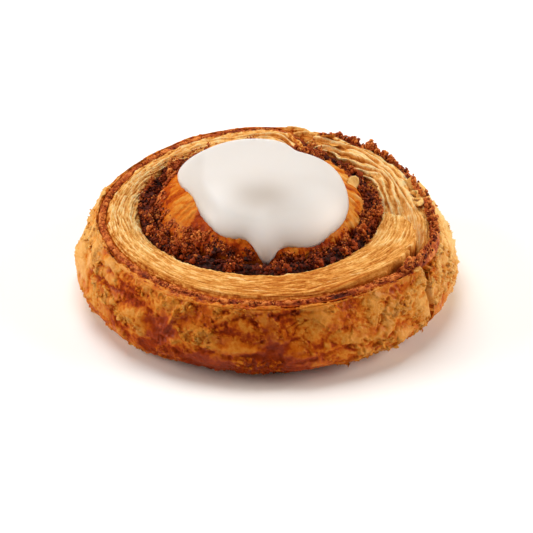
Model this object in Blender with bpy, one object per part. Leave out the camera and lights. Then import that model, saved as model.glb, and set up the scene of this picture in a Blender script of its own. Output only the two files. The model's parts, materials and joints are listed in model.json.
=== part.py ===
"""Cinnamon swirl: a coiled strip of laminated dough, the crumbly cinnamon filling wound
through it and a cap of white icing.

Lengths are in millimetres and angles in degrees until a mesh is made, which is in metres.
The filling follows one spiral line. Its place is told by the winding angle: 0 at the outer
end of the dough strip, growing inwards, clockwise seen from above.
"""

import bpy
import numpy as np

MM = 0.001
GAP = 0.3
# Middle of the coil's uneven outline, which is brought to the origin.
OUTLINE_MIDDLE = (0.106, -0.451, 0.0)

# The coil's outer wall, seen from above an ellipse, in section a low bulge over a flat foot.
WALL_HALF_WIDTH = 56.2
WALL_HALF_DEPTH = 53.2
WIDEST_HEIGHT = 8.5
FOOT_INSET = 8.5
FOOT_ROUNDNESS = 2.2
SHOULDER_ROUNDNESS = 1.4

# The spiral line: two visible turns and a hidden inner one, each an ellipse of its own. A step
# between two values is told by the winding angle of its middle and by its width.
TAIL_DIRECTION = -33.0
OUTER_TURN = {"centre": (0.0, 1.2), "radii": (47.0, 46.1), "thickness": 1.9}
CRUMB_TURN = {"centre": (-1.8, 6.0), "radii": (32.9, 31.6), "thickness": 4.4}
INNER_TURN = {"centre": (-1.8, 6.0), "radii": (17.0, 17.0), "thickness": 2.2}
FIRST_DIVE = {"middle": 253.0, "width": 34.0}
SECOND_DIVE = {"middle": 635.0, "width": 110.0}
FILLING_START = -102.0
FILLING_END = 864.0
COIL_END = 882.0
STATION = 6.0
NARROW_SHARE = 0.3
# Sines that make the line and the rim uneven: height, waves in a radian and phase of each.
WAVES = ((0.6, 3.1, 0.5), (0.4, 5.3, 2.0))
LINE_WAVE = 0.7

# Places where the outline swells or shrinks: winding angle, width, distance.
SWELLS = ((-8.0, 22.0, 3.4), (-81.0, 16.0, -1.2), (-171.0, 24.0, -0.8))
SWELLS_END = {"middle": 215.0, "width": 40.0}

# The outer end of the strip, a thin flap that lies on bare filling.
RIM_LEDGE_FRONT = 1.9
RIM_LEDGE_BACK = 0.5
LEDGE_BLEND = 1.6
COVER_STARTS = {"middle": -6.0, "width": 12.0}
COVER_ENDS = {"middle": -112.5, "width": 25.0}
LEAN_INSIDE = 0.3
LEAN_FADE = 90.0
LEAN_ENDS = {"middle": 240.0, "width": 60.0}
# Stations before the tail on which the wall below the bare filling still shows.
BARE_STATIONS = 2.5
BARE_SLACK = 1.0

# Heights.
RIM_HEIGHT = 24.5
GROOVE_HEIGHT = 22.6
BACK_RISE = 2.0
LATER_TURN_RISE = 0.4
INNER_EDGE_RISE = 0.3
BAND_STARTS = {"middle": 252.0, "width": 24.0}
BAND_ENDS = {"middle": 635.0, "width": 60.0}
DOME_FOOT_RISE = 1.0
DOME_TOP = 34.0
DOME_RADII = (30.4, 29.1)
DOME_FLATNESS = 2.6
DOME_STEEPNESS = 0.734
LIP_ROUNDING = 0.7
LIP_SHARE = 0.12
FILLING_SINK = 0.4
FILLING_UNDERSIDE = 0.4
FILLING_RISES = {"middle": 620.0, "width": 60.0}
FILLING_HEAP_SHARE = 0.2
FILLING_ROUGHNESS = 0.35
FILLING_ROUGH_WAVES = 37.0

# Relief of the dough.
BAND_CROWN = 0.9
RIDGES = 4.0
RIDGE_HEIGHT = 0.4
# Sines that let the ridges wander: distance in radians and waves in a radian of each.
RIDGE_WANDER = ((0.7, 2.3), (0.4, 7.0))
RIM_WAVE = 0.5
WALL_LUMP = 0.8
LUMPS_ROUND = (9.0, 5.0)
LUMPS_UP = (0.35, -0.25)
FOLD_SHARE = 0.5
FOLDS_UP = 1.3
FOLD_WANDER = 2.0
FOLDS_ROUND = 4.0
LUMP_FREE_EDGE = 2.0
LUMP_FADE_LOW = 5.0
LUMP_FADE_HIGH = 6.0
# The torn place on the right: past an edge that slants towards the rim the band's upper layers
# end in a raised tongue, and before it the layers below lie lower.
TONGUE = {"end": 333.0, "slant": 64.0, "slant_share": 0.42, "edge": 6.0, "rise": 1.2, "fade": 26.0}
HOLLOW = {"length": 27.0, "slope": 18.0, "depth": 2.2}
TORN_FREE_EDGE = 0.14

# Icing.
ICING_CENTRE = (-1.8, 6.0)
ICING_RADIUS = 24.0
ICING_THICKNESS = 3.0
ICING_CLEARANCE = 0.7
ICING_DIP = 1.0
ICING_DIP_SHARE = 0.45
ICING_FLATNESS = 7
ICING_EDGE_SHARE = 0.3
# Each lobe: direction, reach beyond the mean radius, width.
ICING_LOBES = (
    (-88.0, 5.6, 14.0),
    (-58.0, 2.8, 20.0),
    (-22.0, 2.8, 26.0),
    (48.0, -5.0, 20.0),
    (110.0, 2.0, 26.0),
    (150.0, 2.2, 20.0),
    (-160.0, -3.0, 24.0),
)
ICING_SPOKES = 48
ICING_RINGS = (0.3, 0.55, 0.75, 0.88, 0.96, 1.0)

# Crumbs fused to the filling.
CRUMB_SEED = 12
CRUMB_COUNT = 30
CRUMB_RADIUS = (0.8, 1.5)
CRUMB_OFFSET = 0.3
CRUMBS_FROM = 285.0
CRUMBS_TO = 600.0

# Points of a section: shares of its height up a side, and of its width over the upper face.
SIDE_LEVELS = np.array((0.0, 0.08, 0.2, 0.36, 0.78, 1.0))
BARE_LEVEL = 4
TOP_SPREAD = np.array((0.05, 0.18, 0.34, 0.5, 0.66, 0.82, 0.95))

SHARP_ANGLE = 50.0


def smooth(x):
    """Rises from 0 to 1 as x goes from 0 to 1, level at both ends."""
    x = np.clip(x, 0.0, 1.0)
    return x * x * (3.0 - 2.0 * x)


def passed(winding, step):
    """0 before the step, 1 past it."""
    return smooth((winding - step["middle"]) / step["width"] + 0.5)


def along_turns(winding, key):
    """A value of the three turns, blended where the line dives from one turn to the next."""
    first = passed(winding, FIRST_DIVE)[..., None]
    second = passed(winding, SECOND_DIVE)[..., None]
    outer, crumb, inner = (np.atleast_1d(np.array(t[key])) for t in (OUTER_TURN, CRUMB_TURN, INNER_TURN))
    return outer * (1 - first) + crumb * (first - second) + inner * second


def direction(winding):
    """Unit vector, seen from above, from the middle towards the place at this winding angle."""
    angle = np.radians(TAIL_DIRECTION - winding)
    return np.stack([np.cos(angle), np.sin(angle)], -1)


def from_tail(winding):
    """Winding angle brought into -180 to 180 about the tail."""
    return (winding + 180.0) % 360.0 - 180.0


def outline_swell(winding):
    return sum(far * np.exp(-((from_tail(winding - at) / width) ** 2)) for at, width, far in SWELLS)


def wave(winding):
    """A slow uneven wave between about -1 and 1 that never repeats from turn to turn."""
    turn = np.radians(winding)
    return sum(height * np.sin(count * turn + phase) for height, count, phase in WAVES)


def line_point(winding):
    """The spiral line seen from above."""
    out = direction(winding)
    swell = outline_swell(winding) * (1 - passed(winding, SWELLS_END))
    swell = swell + LINE_WAVE * wave(winding)
    return along_turns(winding, "centre") + out * (along_turns(winding, "radii") + swell[..., None])


def thickness(winding, level):
    """Thickness of the filling, widest at its top and narrow below."""
    top = along_turns(winding, "thickness")[..., 0]
    return top * (NARROW_SHARE + (1 - NARROW_SHARE) * level**2)


def cover(winding):
    """1 where the outer strip covers the filling, 0 where the filling lies bare on the wall."""
    near = from_tail(winding)
    return passed(near, COVER_STARTS) + 1 - passed(near, COVER_ENDS)


def wall_reach(winding, height):
    """(edge, swell, foot) seen from above: the wall's upper edge, how far it swells beyond that edge
    at a height, and how far it draws in again at the foot."""
    out = direction(winding)
    swell = outline_swell(winding)[..., None]
    rim = np.array(OUTER_TURN["centre"]) + out * (np.array(OUTER_TURN["radii"]) + swell)
    flat = RIM_LEDGE_FRONT + (RIM_LEDGE_BACK - RIM_LEDGE_FRONT) * smooth((out[:, 1] + 1) / LEDGE_BLEND)
    ledge = OUTER_TURN["thickness"] / 2 + cover(winding) * (GAP + flat)
    edge = rim + out * ledge[..., None]
    widest = out * (np.array((WALL_HALF_WIDTH, WALL_HALF_DEPTH)) + np.minimum(swell, 0))
    rise = (height - WIDEST_HEIGHT) / (rim_height(winding) - WIDEST_HEIGHT)
    upper = 1 - np.clip(rise, 0, 1) ** SHOULDER_ROUNDNESS
    drop = np.clip((WIDEST_HEIGHT - height) / WIDEST_HEIGHT, 0, 1)
    foot = FOOT_INSET * drop**FOOT_ROUNDNESS
    return edge, (widest - edge) * upper[..., None], out * foot[..., None]


def rim_height(winding):
    return RIM_HEIGHT + BACK_RISE * direction(winding)[..., 1] + RIM_WAVE * wave(from_tail(winding))


def groove_height(winding):
    return GROOVE_HEIGHT + BACK_RISE * direction(winding)[..., 1]


def dome(place):
    """Height of the raised middle at a place seen from above."""
    offset = (place - np.array(CRUMB_TURN["centre"])) / np.array(DOME_RADII)
    reach = np.clip(np.hypot(offset[..., 0], offset[..., 1]), 0, 1)
    angle = np.arctan2(place[..., 1], place[..., 0])
    foot = GROOVE_HEIGHT + BACK_RISE * np.sin(angle) + DOME_FOOT_RISE
    return foot + (DOME_TOP - foot) * (1 - reach**DOME_FLATNESS) ** DOME_STEEPNESS


def lean(winding, height):
    """How far the filling leans with the wall: with all its swell at the tail and less further in,
    and with its foot as far as the dive."""
    swell, foot = wall_reach(winding, height)[1:]
    share = 1 - (1 - LEAN_INSIDE) * smooth(winding / LEAN_FADE)
    outer = 1 - passed(winding, LEAN_ENDS)
    return (swell * share[..., None] - foot) * outer[..., None]


def filling_face(winding, height, top, side):
    """A face of the filling, moved off its line by half the thickness: side is 1 outwards, -1 inwards."""
    level = np.clip(height / top, 0, 1)
    offset = side * thickness(winding, level) / 2
    return line_point(winding) + lean(winding, height) + direction(winding) * offset[..., None]


def slot_face(winding, height, top, side):
    """The dough's face beside the filling, clear of it by the gap."""
    offset = np.broadcast_to(side * GAP, winding.shape)
    return filling_face(winding, height, top, side) + direction(winding) * offset[:, None]


def wall_lumps(winding, height):
    """Low blisters and folds of the outer wall, faded out at the rim and at the foot."""
    turn = np.radians(winding)
    lumps = np.sin(LUMPS_ROUND[0] * turn + LUMPS_UP[0] * height)
    lumps = lumps * np.sin(LUMPS_ROUND[1] * turn + LUMPS_UP[1] * height + 1.0)
    folds = FOLD_SHARE * np.sin(FOLDS_UP * height + FOLD_WANDER * np.sin(FOLDS_ROUND * turn))
    fade = smooth((height - LUMP_FREE_EDGE) / LUMP_FADE_LOW)
    fade = fade * smooth((RIM_HEIGHT - LUMP_FREE_EDGE - height) / LUMP_FADE_HIGH)
    return WALL_LUMP * (lumps + folds) * fade


def torn_layers(winding, across):
    """How far the tongue's end rises and the layers before it sink."""
    slant = TONGUE["slant"] * np.maximum(0.0, TONGUE["slant_share"] - across)
    past = winding - TONGUE["end"] - slant
    tongue = smooth(past / TONGUE["edge"] + 0.5)
    rise = TONGUE["rise"] * tongue * (1 - smooth(past / TONGUE["fade"]))
    sink = HOLLOW["depth"] * (1 - tongue) * smooth((past + HOLLOW["length"]) / HOLLOW["slope"])
    return (rise - sink) * smooth(np.minimum(across, 1 - across) / TORN_FREE_EDGE)


def strip_top(winding, across, place):
    """Height of the strip's upper face: a ridged band outside, the raised dome inside."""
    inside = passed(winding, BAND_ENDS)
    between = passed(winding, BAND_STARTS)
    outer_edge = rim_height(winding) + LATER_TURN_RISE * (winding >= 360.0)
    inner_edge = rim_height(winding) * (1 - between) + (groove_height(winding) + INNER_EDGE_RISE) * between
    crown = BAND_CROWN * 4 * across * (1 - across) * between
    band = outer_edge + (inner_edge - outer_edge) * across + crown
    wander = sum(far * np.sin(count * np.radians(winding)) for far, count in RIDGE_WANDER)
    ridges = RIDGE_HEIGHT * np.sin(2 * np.pi * RIDGES * across + wander) * between * (1 - inside)
    height = band * (1 - inside) + dome(place) * inside + ridges + torn_layers(winding, across)
    nearest = np.minimum(across, 1 - across)
    return height - LIP_ROUNDING * (1 - smooth(nearest / LIP_SHARE))


def dough_section_ends(winding):
    """Line angles of the two sides of each section: along the strip, then across the core.

    Past the filling's inner end the sections are chords of the core. One end goes on along
    the outer side while the other turns round the filling's end and comes back to meet it.
    """
    outer = winding - 360.0
    past = np.maximum(winding - COIL_END, 0.0)
    inner = np.where(past > 0, COIL_END + STATION - past, winding)
    return outer, inner, np.where(past > 0, -1.0, 1.0)


def dough_sections():
    """Sections of the strip: up its outer side, over its upper face, down its inner side and back."""
    winding = np.arange(0.0, COIL_END + 180.0, STATION)
    outer, inner, inner_side = dough_section_ends(winding)
    bare_wall = (outer < FILLING_START)[:, None]

    def outer_side(height, top):
        edge, swell, foot = wall_reach(winding, height)
        wall = edge + swell - foot + direction(winding) * wall_lumps(winding, height)[..., None]
        below_filling = (outer < -BARE_STATIONS * STATION) & (
            height < SIDE_LEVELS[BARE_LEVEL] * top - BARE_SLACK
        )
        return np.where(bare_wall | below_filling[:, None], wall, slot_face(outer, height, top, -1.0))

    corner_guess = outer_side(np.full_like(winding, RIM_HEIGHT), np.full_like(winding, RIM_HEIGHT))
    outer_top = strip_top(winding, np.zeros_like(winding), corner_guess)
    outer_corner = outer_side(outer_top, outer_top)
    inner_top = strip_top(winding, np.ones_like(winding), line_point(inner))
    inner_corner = slot_face(inner, inner_top, inner_top, inner_side)

    rows = []
    for level in SIDE_LEVELS:
        height = outer_top * level
        rows.append(np.column_stack([outer_side(height, outer_top), height]))
    for across in TOP_SPREAD:
        place = outer_corner * (1 - across) + inner_corner * across
        rows.append(np.column_stack([place, strip_top(winding, np.full_like(winding, across), place)]))
    for level in SIDE_LEVELS[::-1]:
        height = inner_top * level
        rows.append(np.column_stack([slot_face(inner, height, inner_top, inner_side), height]))
    rows.append((rows[0] + rows[-1]) / 2)
    return np.stack(rows, 1)


def filling_sections():
    """(winding, sections) of the filling: up its outer side, over a rough crest and down its inner side."""
    winding = np.arange(FILLING_START, FILLING_END + STATION / 2, STATION)
    line = line_point(winding)
    first = passed(winding, FIRST_DIVE)
    inside = passed(winding, FILLING_RISES)
    top = rim_height(winding) * (1 - first) + groove_height(winding) * (first - inside) + dome(line) * inside
    top = top - FILLING_SINK
    heap = FILLING_HEAP_SHARE * along_turns(winding, "thickness")[..., 0]
    rough = FILLING_ROUGHNESS * np.sin(np.radians(FILLING_ROUGH_WAVES * winding))
    crest = top + (heap + rough) * (1 - inside)
    # Bare, the filling only covers the upper wall. Past the tail it steps down a level at each station.
    steps_down = SIDE_LEVELS[BARE_LEVEL::-1]
    lowest = np.interp(winding, STATION * np.arange(len(steps_down)), steps_down)
    underside = FILLING_UNDERSIDE + top * lowest
    # The same levels as the dough beside it, those below the underside drawn together just above it.
    heights = [np.maximum(top * level, underside + level) for level in SIDE_LEVELS]
    rows = [np.column_stack([filling_face(winding, height, top, 1.0), height]) for height in heights]
    middle = (rows[-1][:, :2] + filling_face(winding, top, top, -1.0)) / 2
    rows.append(np.column_stack([middle, crest]))
    rows += [np.column_stack([filling_face(winding, height, top, -1.0), height]) for height in heights[::-1]]
    return winding, np.stack(rows, 1)


def icing_reach(angle):
    """Distance of the icing's edge from its middle in each direction."""
    reach = np.full_like(angle, ICING_RADIUS)
    for heading, extra, width in ICING_LOBES:
        turn = (angle - heading + 180.0) % 360.0 - 180.0
        reach += extra * np.exp(-((turn / width) ** 2))
    return reach


def icing_rings():
    """Rings from the underside's middle outwards, round the thick edge and back over the top."""
    angle = np.linspace(0.0, 360.0, ICING_SPOKES, endpoint=False)
    out = np.column_stack([np.cos(np.radians(angle)), np.sin(np.radians(angle))])
    reach = icing_reach(angle)[:, None]
    centre = np.array(ICING_CENTRE)

    def ring(share, lift):
        place = centre + out * reach * share
        middle = np.hypot(*(out * reach * share).T) / ICING_RADIUS
        dip = ICING_DIP * np.exp(-((middle / ICING_DIP_SHARE) ** 2)) * (lift > 0)
        return np.column_stack([place, dome(place) + ICING_CLEARANCE + lift - dip])

    under = [ring(share, 0.0) for share in ICING_RINGS[:-1]]
    inwards = ICING_RINGS[-2::-1]
    over = [ring(share, ICING_THICKNESS * (1 - share**ICING_FLATNESS) ** 0.5) for share in inwards]
    edge = ring(1.0, ICING_EDGE_SHARE * ICING_THICKNESS)
    return np.stack([*under, edge, *over])


def mesh_object(name, points, faces, colour, roughness, collection):
    mesh = bpy.data.meshes.new(name)
    mesh.from_pydata(((points - OUTLINE_MIDDLE) * MM).tolist(), [], faces)
    mesh.update()
    mesh.shade_smooth()
    mesh.set_sharp_from_angle(angle=np.radians(SHARP_ANGLE))
    mesh.materials.append(principled(name, colour, roughness))
    obj = bpy.data.objects.new(name, mesh)
    collection.objects.link(obj)
    return obj


def principled(name, colour, roughness):
    material = bpy.data.materials.new(name)
    material.use_nodes = True
    shader = material.node_tree.nodes["Principled BSDF"]
    shader.inputs["Base Color"].default_value = (*colour, 1.0)
    shader.inputs["Roughness"].default_value = roughness
    shader.inputs["Metallic"].default_value = 0.0
    return material


def loft(sections):
    """Closed skin over sections that each go once round the outline, with both ends capped."""
    count, size = sections.shape[:2]
    index = np.arange(count * size).reshape(count, size)
    ahead = np.roll(index, -1, axis=1)
    quads = np.stack([index[:-1], ahead[:-1], ahead[1:], index[1:]], -1).reshape(-1, 4)
    faces = [*quads.tolist(), index[0][::-1].tolist(), index[-1].tolist()]
    return sections.reshape(-1, 3), faces


def make_dough(collection):
    """The coiled strip, one closed skin from its thin tail to the core."""
    points, faces = loft(dough_sections())
    return mesh_object("dough_coil", points, faces, (0.62, 0.30, 0.08), 0.55, collection)


def make_icing(collection):
    """The icing's rings joined, with a fan at the middle of its underside and of its top."""
    rings = icing_rings()
    count, size = rings.shape[:2]
    index = np.arange(count * size).reshape(count, size)
    ahead = np.roll(index, -1, axis=1)
    quads = np.stack([index[:-1], ahead[:-1], ahead[1:], index[1:]], -1).reshape(-1, 4)
    below, above = count * size, count * size + 1
    middle = np.array(ICING_CENTRE)
    low = dome(middle) + ICING_CLEARANCE
    high = low + ICING_THICKNESS - ICING_DIP
    points = np.concatenate([rings.reshape(-1, 3), [[*middle, low], [*middle, high]]])
    fans = [[below, ahead[0][i], index[0][i]] for i in range(size)]
    fans += [[above, index[-1][i], ahead[-1][i]] for i in range(size)]
    faces = quads.tolist() + [[int(corner) for corner in fan] for fan in fans]
    return mesh_object("icing", points, faces, (0.86, 0.83, 0.78), 0.25, collection)


def make_filling(collection):
    """The filling's ribbon with crumbs of uneven size fused along the top of its middle turn."""
    winding, sections = filling_sections()
    points, faces = loft(sections)
    filling = mesh_object("cinnamon_filling", points, faces, (0.16, 0.045, 0.018), 0.8, collection)
    crest = sections[(winding > CRUMBS_FROM) & (winding < CRUMBS_TO), len(SIDE_LEVELS)]
    draw = np.random.default_rng(CRUMB_SEED)
    crumbs = bpy.data.collections.new("crumbs")
    bpy.context.scene.collection.children.link(crumbs)
    for place in np.linspace(0, len(crest) - 1, CRUMB_COUNT):
        centre = crest[int(place)] - OUTLINE_MIDDLE + draw.uniform(-CRUMB_OFFSET, CRUMB_OFFSET, 3)
        bpy.ops.mesh.primitive_ico_sphere_add(
            subdivisions=1,
            radius=draw.uniform(*CRUMB_RADIUS) * MM,
            location=centre * MM,
            rotation=draw.uniform(0, np.pi, 3),
        )
        crumb = bpy.context.object
        for owner in crumb.users_collection:
            owner.objects.unlink(crumb)
        crumbs.objects.link(crumb)
    fuse(filling, crumbs)
    return filling


def fuse(obj, others):
    """Joins the objects of a collection to one solid and removes them."""
    union = obj.modifiers.new("fuse", "BOOLEAN")
    union.operation = "UNION"
    union.operand_type = "COLLECTION"
    union.collection = others
    union.solver = "EXACT"
    bpy.context.view_layer.objects.active = obj
    bpy.ops.object.modifier_apply(modifier=union.name)
    for other in list(others.objects):
        bpy.data.objects.remove(other)
    bpy.data.collections.remove(others)


def main():
    for obj in list(bpy.data.objects):
        bpy.data.objects.remove(obj)
    swirl = bpy.data.collections.new("cinnamon_swirl")
    bpy.context.scene.collection.children.link(swirl)
    make_dough(swirl)
    make_filling(swirl)
    make_icing(swirl)


main()
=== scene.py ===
import json

import bmesh
import bpy
import numpy as np
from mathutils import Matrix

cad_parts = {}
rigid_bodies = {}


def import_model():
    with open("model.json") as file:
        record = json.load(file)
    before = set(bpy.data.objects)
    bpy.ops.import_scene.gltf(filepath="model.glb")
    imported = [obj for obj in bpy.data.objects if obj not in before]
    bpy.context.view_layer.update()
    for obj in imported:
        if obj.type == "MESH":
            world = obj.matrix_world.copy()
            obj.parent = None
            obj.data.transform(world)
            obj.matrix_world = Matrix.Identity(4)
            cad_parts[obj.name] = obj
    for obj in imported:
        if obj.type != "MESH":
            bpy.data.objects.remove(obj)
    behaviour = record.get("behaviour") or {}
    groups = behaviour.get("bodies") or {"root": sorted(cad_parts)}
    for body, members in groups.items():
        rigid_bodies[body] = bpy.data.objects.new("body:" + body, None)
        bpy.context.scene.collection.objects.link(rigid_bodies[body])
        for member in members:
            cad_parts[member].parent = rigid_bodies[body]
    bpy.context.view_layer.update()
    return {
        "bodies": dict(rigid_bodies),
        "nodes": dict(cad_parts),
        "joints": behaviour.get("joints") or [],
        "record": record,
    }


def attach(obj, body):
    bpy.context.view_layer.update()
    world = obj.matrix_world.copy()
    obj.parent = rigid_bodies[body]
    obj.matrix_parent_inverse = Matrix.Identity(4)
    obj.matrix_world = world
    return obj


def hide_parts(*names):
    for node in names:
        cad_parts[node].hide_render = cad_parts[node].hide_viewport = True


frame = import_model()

# Lengths are in millimetres and angles in degrees until a mesh is made, which is in metres.
# The winding angle tells a place along the strip: 0 at its outer end, growing inwards, clockwise
# seen from above. A direction is 0 to the right and -90 to the front. Reach is the distance
# across the strip from its outer edge.
MM = 0.001
# The middle of the underside's outline, which comes to the origin.
OUTLINE_MIDDLE = np.array((0.106, -0.451, 0.0))

# The outer wall
WALL_HALF_WIDTH = 56.2
WALL_HALF_DEPTH = 53.2
WIDEST_HEIGHT = 8.5
FOOT_INSET = 8.5
FOOT_ROUNDNESS = 2.2
SHOULDER_ROUNDNESS = 1.4
MEAN_RADIUS = 52.0

# The spiral line's three turns and the dives from each to the next, with middle and width.
TAIL_DIRECTION = -33.0
OUTER_TURN = {"centre": (0.0, 1.2), "radii": (47.0, 46.1), "thickness": 1.9}
CRUMB_TURN = {"centre": (-1.8, 6.0), "radii": (32.9, 31.6), "thickness": 4.4}
INNER_TURN = {"centre": (-1.8, 6.0), "radii": (17.0, 17.0), "thickness": 2.2}
FIRST_DIVE = (253.0, 34.0)
SECOND_DIVE = (635.0, 110.0)
FILLING_START = -102.0
FILLING_END = 864.0
COIL_END = 882.0
STATION = 6.0
NARROW_SHARE = 0.3
GAP = 0.3

# Places where the outline swells or shrinks: winding angle, width, distance.
SWELLS = ((-8.0, 22.0, 3.4), (-81.0, 16.0, -1.2), (-171.0, 24.0, -0.8))
SWELLS_END = (215.0, 40.0)
RIM_LEDGE_FRONT = 1.9
RIM_LEDGE_BACK = 0.5
RIM_LEDGE_SPAN = 1.6
LEAN_INSIDE = 0.3
LEAN_FADE = 90.0
TAIL_ROUNDING = 1.8
TAIL_RAGGED = 0.7
TAIL_THINNEST = 0.03

# Where along the strip something changes: winding angle at which it begins, and length.
COVER_RETURNS = (-12.0, 12.0)
COVER_ENDS = (-125.0, 25.0)
LEAN_ENDS = (210.0, 60.0)
RIM_CRUST_ENDS = (225.0, 40.0)
BAND_BEGINS = (240.0, 24.0)
FILLING_CLIMBS = (590.0, 60.0)
STRIP_CLIMBS = (605.0, 60.0)
TURN_CRUST_BEGINS = (605.0, 40.0)

RIM_HEIGHT = 24.5
GROOVE_HEIGHT = 22.6
BACK_RISE = 2.0
DOME_FOOT_RISE = 1.0
DOME_TOP = 34.0
DOME_RADII = (30.4, 29.1)
DOME_FLATNESS = 2.6
DOME_STEEPNESS = 0.734
LIP_ROUNDING = 0.7
LIP_SHARE = 0.12
WALL_LIP = 0.6
FILLING_SINK = 0.4
FILLING_HEAP = 0.3
FILLING_FOOT = 0.1
BARE_SHARE = 0.93
BAND_CROWN = 0.9
OUTER_EDGE_RISE = 0.4
INNER_EDGE_RISE = 0.3
RIM_WAVE = 0.5
LINE_WAVE = 0.7
# The notch in the back rim and the hill beside it: winding angle, width, height.
RIM_NOTCH = (254.0, 2.2, 1.5)
RIM_HILL = (263.0, 5.0, 0.6)

# The torn end of the band's upper layers on the right, the pit beside it, and the seam where the
# wall dips under the strip's outer end.
TONGUE = {"end": 346.5, "skew": 0.8, "slant": 4.8, "slant_reach": 5.6, "rise": 2.1, "drop": 3.1}
TORN_PIT = {"at": 343.0, "length": 7.0, "reach": 3.5, "width": 1.8, "depth": 1.2}
SEAM = 346.0
SEAM_LENGTH = 8.0

# Sides where the relief or the bake differs, as directions and widths: the wall's front, left,
# right of the front and rough side, the band's front, left, right and lip. The bake by side is
# partly painted light and shade: darker at the front, paler on the left and right.
WALL_SIDES = ((-95.0, 48.0), (178.0, 40.0), (-57.0, 20.0), (5.0, 34.0))
BAND_SIDES = ((-85.0, 50.0), (175.0, 45.0), (25.0, 50.0), (-62.0, 34.0))
TURN_RIGHT = (5.0, 50.0)
BAND_RADIUS = 40.0
TURN_RADIUS = 26.0
SHEET_RADIUS = 42.0
# A stretch of the band's edge that is free of stains: winding angle and width.
CLEAN_STRETCH = (384.0, 20.0)
CLEAN_REACH = 4.0

ICING_CENTRE = np.array((-1.8, 6.0))
ICING_RADIUS = 24.0
ICING_THICKNESS = 3.0
ICING_DIP = 0.8
ICING_DIP_AT = (0.5, -12.6)
# Where the painted shade over the dip is deepest, a little in front of the dip itself.
ICING_SHADE_AT = (0.8, -15.5)
ICING_DIP_RADII = (12.5, 7.0)
# Painted shade: where the icing turns greyer, towards the back and the left: start and length, then how much.
ICING_BACK = (-11.0, 12.0)
ICING_LEFT = (12.0, 8.0)
ICING_BACK_SHADE = 0.42
ICING_LEFT_SHARE = 1.3
ICING_DIP_SHADE = 0.95
# Lobes and bays of its edge: direction, how far beyond the radius, width.
ICING_LOBES = (
    (-87, 4.0, 8), (-62, 3.8, 22), (-28, 3.4, 24), (48, -6.5, 22),
    (105, 3.4, 26), (150, 2.2, 20), (-158, -3.0, 22), (-112, 1.6, 16),
)

WALL_POINTS = 84
UPPER_POINTS = 48
SLOT_POINTS = 8
STRIP_TURNED_BACK = 179.4
# The dough's lengths: first and last winding angle, step, and points up the outer side.
DOUGH_LENGTHS = {
    "outer_turn_1": (0.0, 120.0, 0.3, WALL_POINTS),
    "outer_turn_2": (120.0, 240.0, 0.3, WALL_POINTS),
    "outer_turn_3": (240.0, 360.0, 0.3, WALL_POINTS),
    "middle_turn": (360.0, 640.0, 0.4, SLOT_POINTS),
    "inner_turn": (640.0, COIL_END + STRIP_TURNED_BACK, 0.6, SLOT_POINTS),
}
WALL_FLAKES = 300
# Large flakes: winding angle, reach, length, bake, height above the dough.
LARGE_FLAKES = (
    (264.0, 2.2, 6.5, 0.34, 0.7),
    (270.0, 4.6, 4.2, 0.30, 0.5),
    (308.0, 0.3, 5.6, 0.26, 0.5),
    (313.0, 0.6, 5.2, 0.18, 0.5),
    (318.0, 0.3, 5.8, 0.26, 0.5),
    (322.0, 0.9, 5.2, 0.16, 0.5),
    (318.0, 2.4, 5.6, 0.16, 0.4),
    (326.0, 2.6, 4.6, 0.12, 0.3),
    (300.0, 9.6, 3.0, 0.12, 0.5),
    (674.0, 1.8, 4.6, 0.16, 0.1),
    (158.0, 0.5, 2.8, 0.24, 0.6),
)

# Tones as seen in neutral light: the crust and the band's cut layers from pale to dark bake,
# the crumbs from dark to pale, and the icing from white to grey.
CRUST_TONES = (
    (0.00, (252, 222, 162)), (0.14, (244, 196, 120)), (0.28, (223, 162, 84)),
    (0.42, (214, 136, 46)), (0.56, (198, 98, 12)), (0.70, (160, 56, 2)),
    (0.85, (108, 30, 1)), (1.00, (56, 13, 2)),
)
LAYER_TONES = (
    (0.00, (252, 222, 162)), (0.14, (248, 194, 114)), (0.28, (226, 157, 76)),
    (0.42, (202, 127, 50)), (0.60, (172, 84, 20)), (1.00, (90, 36, 8)),
)
CRUMB_TONES = ((0.0, (40, 8, 1)), (0.35, (98, 28, 5)), (0.7, (178, 76, 22)), (1.0, (232, 142, 66)))
ICING_TONES = ((0.0, (252, 247, 243)), (0.4, (224, 221, 218)), (1.0, (182, 173, 164)))
BAKE_CAP = 0.78
BAKE_FLOOR = 0.3
BAKE_HIDDEN = 0.6

# Bands of crumbs: name, count, winding angles, radii, distances from the filling's middle in half
# widths, height, clumping, tone, its spread, subdivisions of each crumb.
CRUMB_BANDS = (
    ("crumbs_middle_turn", 2300, (268, 640), (0.3, 1.15), (-1.1, 1.1), 1.1, 0.8, 0.34, 0.2, 2),
    ("crumbs_middle_fine", 9000, (262, 660), (0.14, 0.46), (-1.4, 1.25), 2.0, 0.8, 0.42, 0.2, 1),
    ("crumbs_climbing", 1100, (440, 560), (0.25, 0.7), (-2.6, -0.8), 0.7, 1.2, 0.54, 0.16, 1),
    ("crumbs_front_slope", 260, (395, 450), (0.2, 0.5), (-1.9, -0.8), 0.4, 0.9, 0.4, 0.2, 1),
    ("crumbs_outer_turn", 2600, (0, 262), (0.1, 0.36), (-1.2, 1.2), 0.2, 1.3, 0.72, 0.2, 1),
    ("crumbs_outer_end", 1700, (-102, 8), (0.2, 0.75), (-1.1, 1.3), 1.2, 1.5, 0.46, 0.22, 2),
    ("crumbs_torn_place", 420, (-20, 8), (0.25, 0.8), (-4.6, -1.0), 0.4, 0.6, 0.55, 0.24, 2),
)
# Places where the bands change: winding angle, width, how much.
CRUMBS_NARROWER = (20.0, 28.0, 0.45)
CRUMBS_OUTWARD = (517.0, 9.0, 0.6)
CRUMBS_SPARSE = (-46.0, 9.0, 1.8)
CRUMBS_LOWER = (415.0, 9.0, 0.85)
CRUMB_RADIUS = 32.0
CRUMB_TRIES = 4
CRUMBS_AT_TAIL = 8.0
ICING_CLEARANCE = 0.3

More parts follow.
